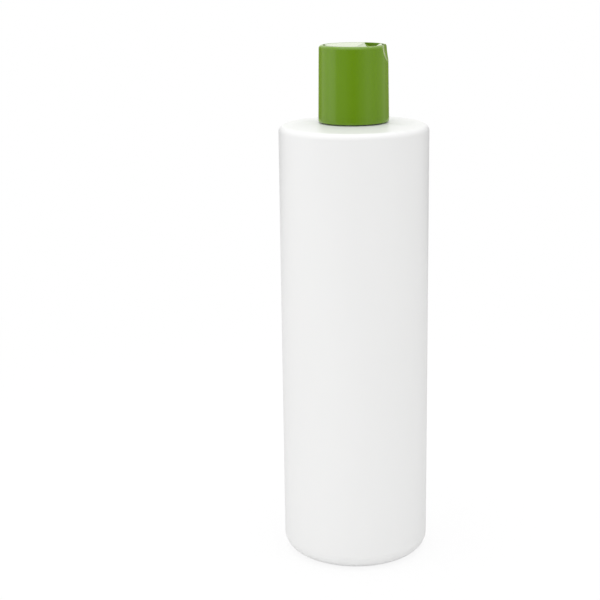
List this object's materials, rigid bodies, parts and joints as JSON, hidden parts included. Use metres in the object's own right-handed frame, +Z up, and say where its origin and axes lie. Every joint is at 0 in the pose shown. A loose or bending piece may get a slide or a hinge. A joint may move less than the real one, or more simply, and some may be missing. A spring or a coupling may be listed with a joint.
{
  "type": "disc-top bottle",
  "caption": "Tall white cylindrical squeeze bottle with a small-radius shoulder and a green screw cap whose top disc tilts to open a pouring window.",
  "frame": {"origin": "on the bottle's axis, at the surface it stands on", "axes": "+Z up along the bottle's axis, -X the way the disc pours, +X the side the disc is pressed, Y along the disc's tilt axis"},
  "size_m": [0.062, 0.062, 0.2174],
  "materials": {
    "bottle_white": "satin blown polyethylene",
    "ring_foam": "matt foam",
    "cap_green": "smooth moulded gloss"
  },
  "bodies": {
    "bottle": {"bottle": "bottle_white"},
    "ring": {"sealing_ring": "ring_foam"},
    "cap": {"cap_body": "cap_green"},
    "disc": {"tilting_disc": "cap_green"}
  },
  "joints": [
    {"name": "cap_lift", "type": "slide", "parent": "bottle", "child": "ring", "axis": [0, 0, 1], "range_m": [0, 0.01906]},
    {"name": "cap_turn", "type": "hinge", "parent": "ring", "child": "cap", "pos_m": [0, 0, 0.2], "axis": [0, 0, 1], "range_deg": [0, 2160]},
    {"name": "disc_tilt", "type": "hinge", "parent": "cap", "child": "disc", "pos_m": [0, 0, 0.2142], "axis": [0, 1, 0], "range_deg": [0, 25]}
  ],
  "couplings": [
    {"joint": "cap_lift", "follows": "cap_turn", "m_per_rad": 0.00050532}
  ]
}
